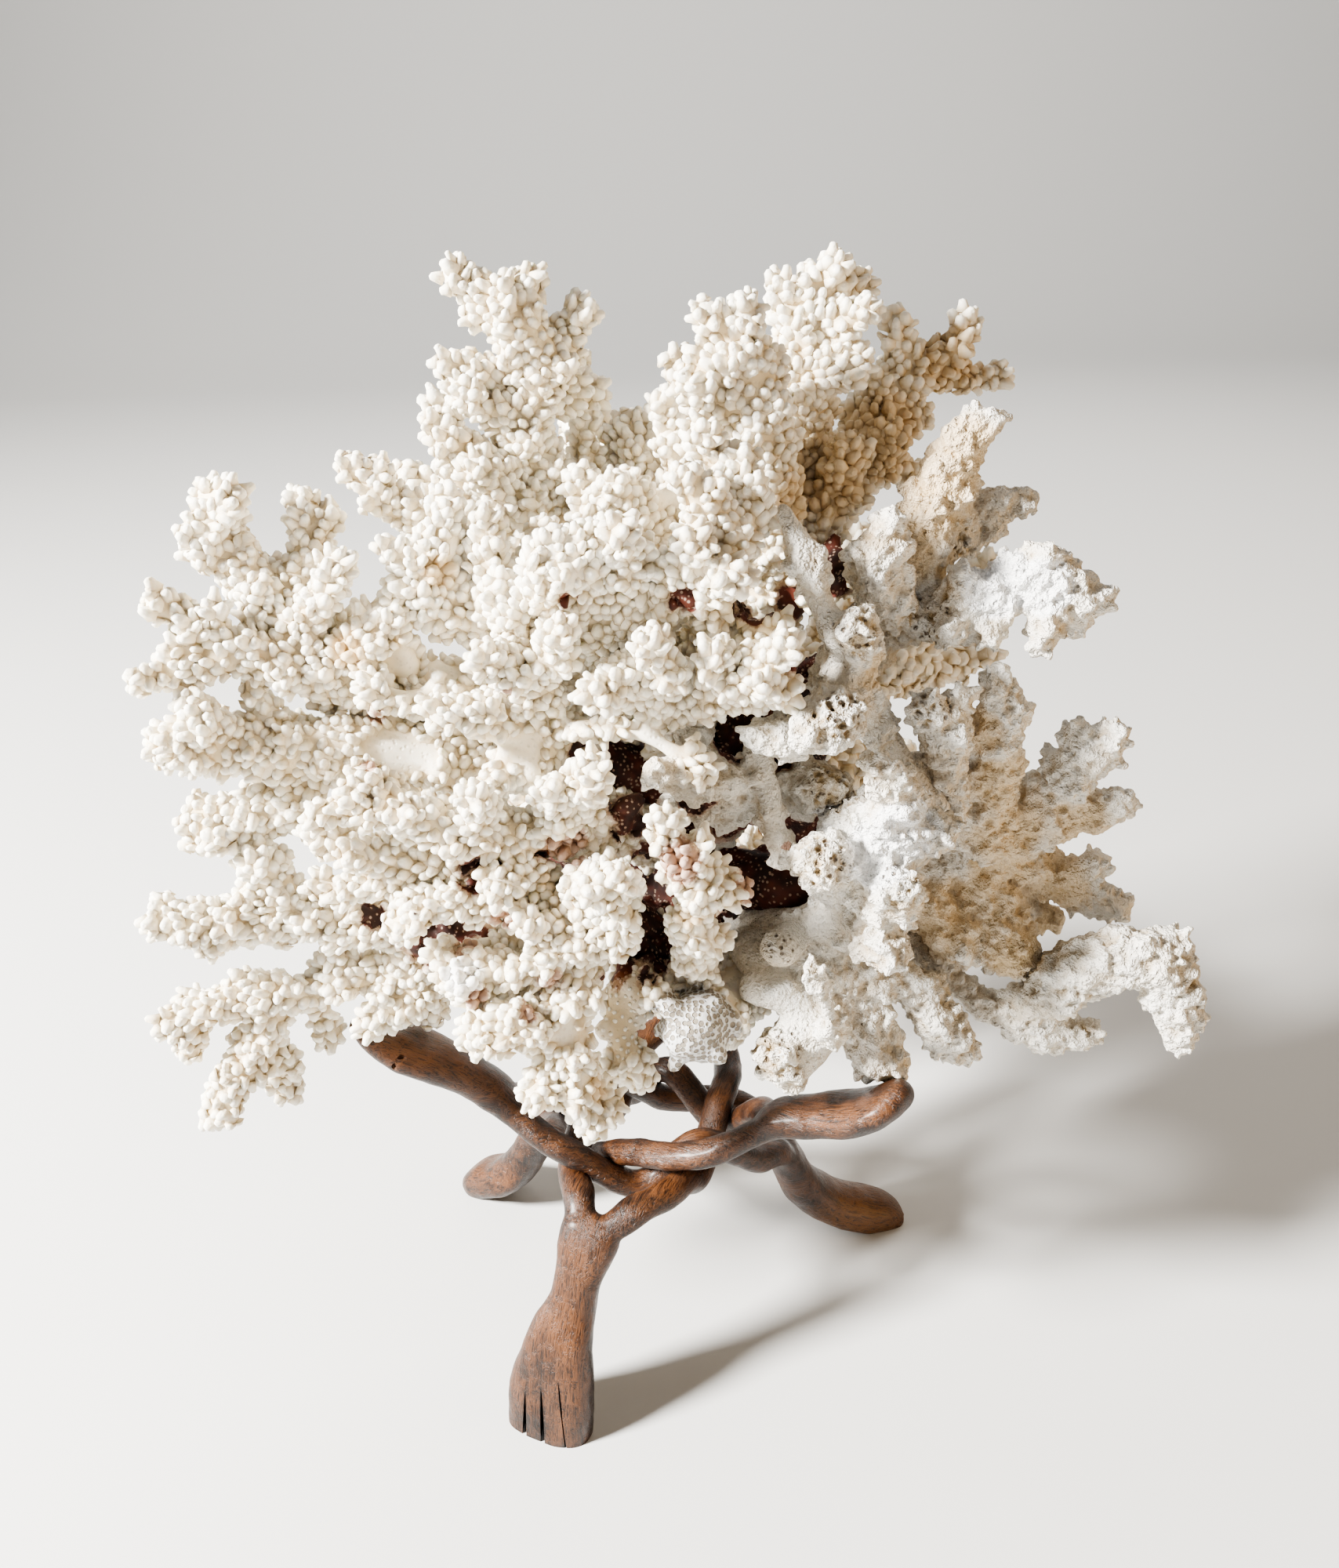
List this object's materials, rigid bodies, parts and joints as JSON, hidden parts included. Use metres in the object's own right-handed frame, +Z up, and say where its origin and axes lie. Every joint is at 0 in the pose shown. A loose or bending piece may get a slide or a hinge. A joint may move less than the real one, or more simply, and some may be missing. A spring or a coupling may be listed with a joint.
{
  "type": "coral specimen on stand",
  "caption": "Branching white stony coral with knobbly fingers, a collector's display piece, resting on a carved stand of interlinked wooden legs",
  "frame": {"origin": "middle of the plan, on the surface that the three feet stand on", "axes": "+Z up, +X to the right as seen from the front, +Y away from the front, towards the colony's back"},
  "size_m": [0.298, 0.1688, 0.3357],
  "materials": {
    "cream_coral": "clean creamy coral skeleton, finely nubbed, matte with a soft glow in thin tips",
    "chalky_coral": "worn chalk-white coral skeleton with pores and tan edges, matte",
    "stained_coral": "dark red-brown stained coral skeleton with fine pale dots, matte",
    "waxed_brown_wood": "brown hardwood with a worn wax sheen and grain along each leg"
  },
  "bodies": {
    "root": {"coral_limb_back_high": "cream_coral", "coral_limb_back_left": "cream_coral", "coral_limb_back_low": "cream_coral", "coral_limb_back_right": "cream_coral", "coral_limb_bone_front": "chalky_coral", "coral_limb_bottom_left": "cream_coral", "coral_limb_bottom_right": "chalky_coral", "coral_limb_centre_high": "cream_coral", "coral_limb_centre_low": "cream_coral", "coral_limb_centre_mid": "cream_coral", "coral_limb_left_front": "cream_coral", "coral_limb_left_high": "cream_coral", "coral_limb_left_low": "cream_coral", "coral_limb_left_mid": "cream_coral", "coral_limb_right_high": "chalky_coral", "coral_limb_right_low": "chalky_coral", "coral_limb_right_mid": "chalky_coral", "coral_limb_top_left": "cream_coral", "coral_limb_top_mid": "cream_coral", "coral_limb_top_right": "cream_coral", "coral_limb_upper_left": "cream_coral", "coral_trunk": "stained_coral", "stand_leg_front": "waxed_brown_wood", "stand_leg_left": "waxed_brown_wood", "stand_leg_right": "waxed_brown_wood"}
  },
  "joints": []
}
